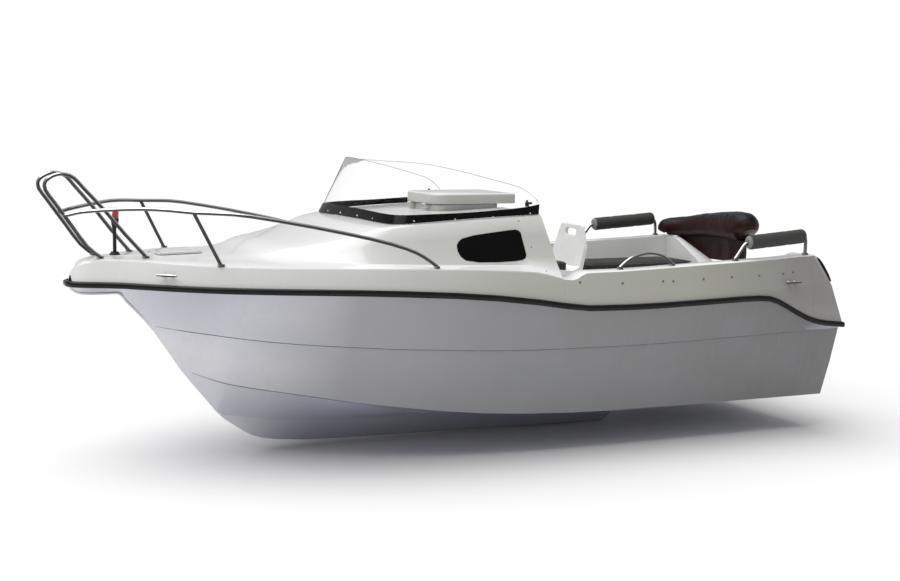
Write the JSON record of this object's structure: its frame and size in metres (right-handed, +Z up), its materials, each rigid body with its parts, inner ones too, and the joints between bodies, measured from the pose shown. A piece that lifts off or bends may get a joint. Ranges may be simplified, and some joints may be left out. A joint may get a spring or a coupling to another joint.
{
  "type": "motorboat",
  "caption": "Small open-cockpit motorboat with a cuddy cabin, wrap-round screen, tubular bow rails and a V-bottomed hull for family day trips",
  "frame": {"origin": "amidships on the centre line, at the waterline", "axes": "+X aft, +Y to starboard, +Z up"},
  "size_m": [5.658, 2.228, 2.003],
  "materials": {
    "hull_gelcoat": "white gelcoat, gloss",
    "deck_gelcoat": "warm white gelcoat, gloss",
    "rub_rubber": "black extruded rail",
    "stainless": "polished stainless tube",
    "black_plastic": "black moulded plastic",
    "lens": "two-colour lens",
    "clear_screen": "clear acrylic sheet",
    "smoked_pane": "smoked acrylic",
    "screen_black": "black painted band",
    "vinyl_grey": "dark grey vinyl",
    "foam_grey": "closed-cell foam",
    "navy_cover": "dark glossy cover cloth",
    "berth_cloth": "berth cushion cloth"
  },
  "bodies": {
    "boat_body": {"hull_moulding": "hull_gelcoat", "foredeck_cabin": "deck_gelcoat", "cockpit_moulding": "deck_gelcoat", "stern_quarters": "deck_gelcoat", "cabin_bulkhead": "deck_gelcoat", "rub_rail": "rub_rubber", "pulpit_hoop_port": "stainless", "pulpit_hoop_starboard": "stainless", "bow_rail_port": "stainless", "bow_rail_starboard": "stainless", "nav_light_body": "black_plastic", "nav_light_lens": "lens", "cleat_bow_port": "stainless", "cleat_bow_starboard": "stainless", "cleat_stern_port": "stainless", "cleat_stern_starboard": "stainless", "windscreen": "clear_screen", "screen_band": "screen_black", "side_window_port": "smoked_pane", "side_window_starboard": "smoked_pane", "hatch_coaming": "deck_gelcoat", "cabin_berths": "berth_cloth", "helm_console": "deck_gelcoat", "throttle": "black_plastic", "helm_seat_shell": "deck_gelcoat", "helm_seat_cushion": "vinyl_grey", "helm_seat_base": "deck_gelcoat", "bench_box": "deck_gelcoat", "bench_cushion": "vinyl_grey", "foam_rest_port": "foam_grey", "foam_rest_starboard": "foam_grey", "rest_frame_port": "stainless", "rest_frame_starboard": "stainless", "grab_rail_port": "stainless", "grab_rail_starboard": "stainless", "stern_pad_port": "rub_rubber", "stern_pad_starboard": "rub_rubber", "canopy_roll": "navy_cover", "canopy_flap": "navy_cover", "transom_pad": "black_plastic"},
    "lid_body": {"hatch_lid": "deck_gelcoat"},
    "door_body": {"companion_door": "deck_gelcoat"},
    "wheel_body": {"steering_wheel": "black_plastic"},
    "locker_lid_body": {"anchor_locker_lid": "deck_gelcoat"}
  },
  "joints": [
    {"name": "hatch_lid_hinge", "type": "hinge", "parent": "boat_body", "child": "lid_body", "pos_m": [-0.262, 0, 1.4], "axis": [0, 1, 0], "range_deg": [-95, 0]},
    {"name": "door_hinge", "type": "hinge", "parent": "boat_body", "child": "door_body", "pos_m": [0.3354, -0.294, 0.6502], "axis": [-0.1219, 0, 0.9925], "range_deg": [-100, 0]},
    {"name": "wheel_turn", "type": "hinge", "parent": "boat_body", "child": "wheel_body", "pos_m": [0.5616, 0.5, 1.0154], "axis": [0.9063, 0, 0.4226], "range_deg": [-540, 540]},
    {"name": "locker_lid_hinge", "type": "hinge", "parent": "boat_body", "child": "locker_lid_body", "pos_m": [-2.1818, 0, 1.1053], "axis": [0, 1, 0], "range_deg": [-95, 0]}
  ]
}
